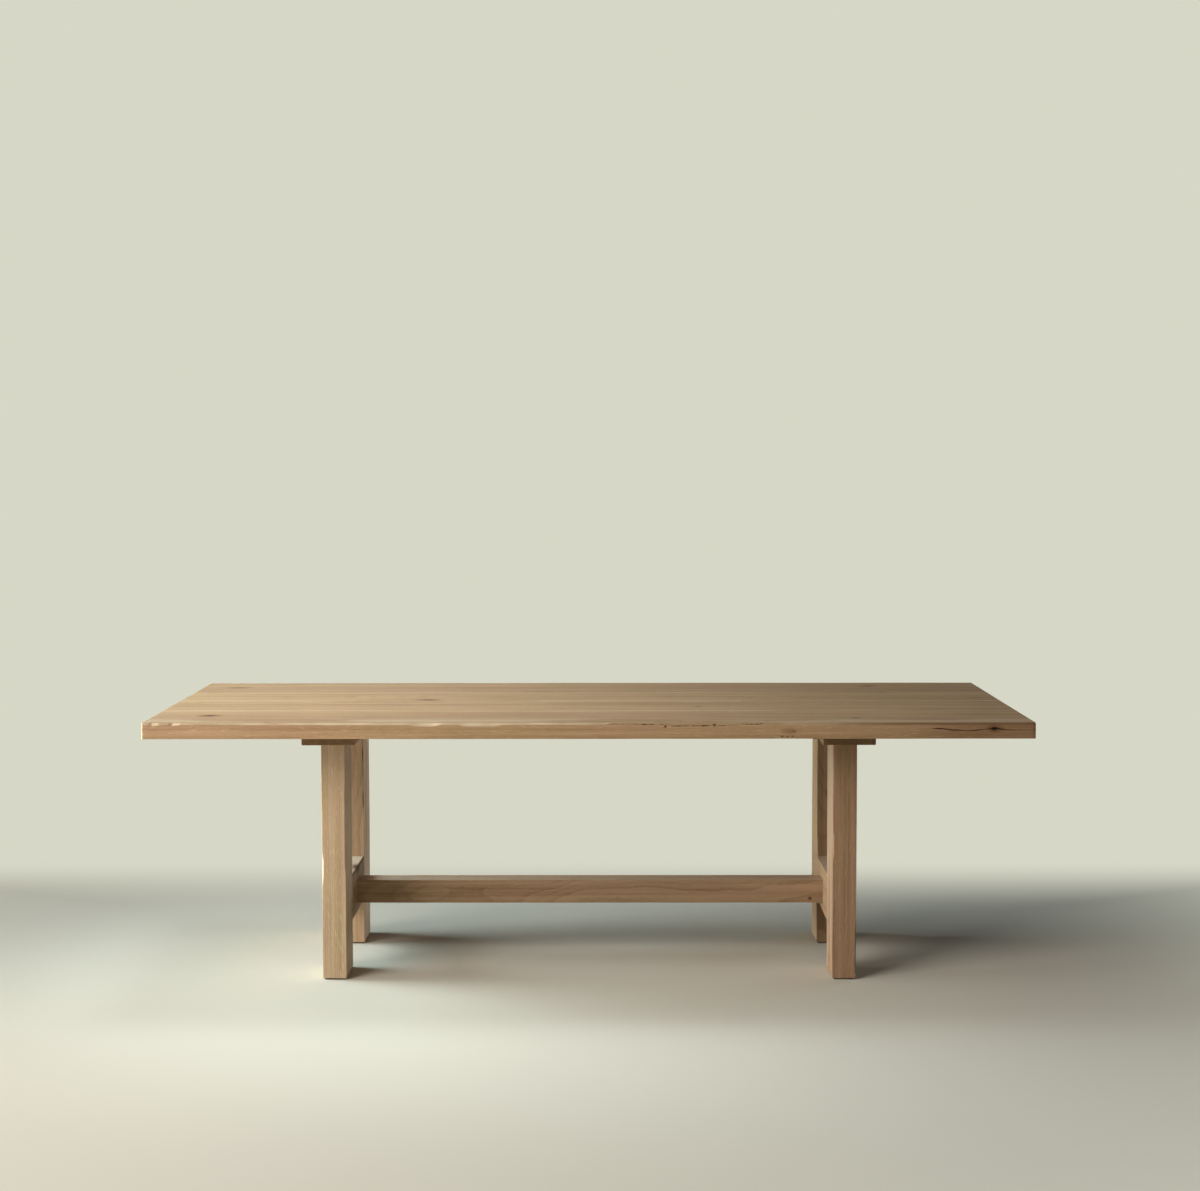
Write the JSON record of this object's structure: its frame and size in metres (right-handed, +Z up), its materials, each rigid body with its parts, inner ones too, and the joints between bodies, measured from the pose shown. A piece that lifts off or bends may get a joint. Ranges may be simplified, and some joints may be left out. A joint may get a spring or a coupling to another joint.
{
  "type": "trestle dining table",
  "caption": "Long rectangular dining table in solid oak: a thick planked top on two post-and-rail trestles, tied low down by one stretcher.",
  "frame": {"origin": "on the floor, below the middle of the top", "axes": "+X along the table to its right, +Y from the front to the back, +Z up"},
  "size_m": [2.4, 0.9, 0.75],
  "materials": {
    "top_oak": "pale oak, matt oiled, knots and open grain",
    "frame_oak": "pale oak, matt oiled, eased arrises",
    "dowel_beech": "plain beech",
    "zinc_steel": "zinc plated",
    "insert_brass": "plain turned brass",
    "pad_felt": "dark brown pressed felt"
  },
  "bodies": {
    "root": {"top_plank_front": "top_oak", "top_plank_middle_front": "top_oak", "top_plank_middle_back": "top_oak", "top_plank_back": "top_oak", "plank_dowels": "dowel_beech", "left_bearer": "frame_oak", "right_bearer": "frame_oak", "left_front_leg": "frame_oak", "left_back_leg": "frame_oak", "right_front_leg": "frame_oak", "right_back_leg": "frame_oak", "left_cross_rail": "frame_oak", "right_cross_rail": "frame_oak", "stretcher": "frame_oak", "stretcher_bolt_plugs": "frame_oak", "top_bolts": "zinc_steel", "top_bolt_washers": "zinc_steel", "bearer_screws": "zinc_steel", "stretcher_bolts": "zinc_steel", "stretcher_bolt_washers": "zinc_steel", "stretcher_barrel_nuts": "zinc_steel", "top_inserts": "insert_brass", "left_front_foot_pad": "pad_felt", "left_back_foot_pad": "pad_felt", "right_front_foot_pad": "pad_felt", "right_back_foot_pad": "pad_felt"}
  },
  "joints": []
}
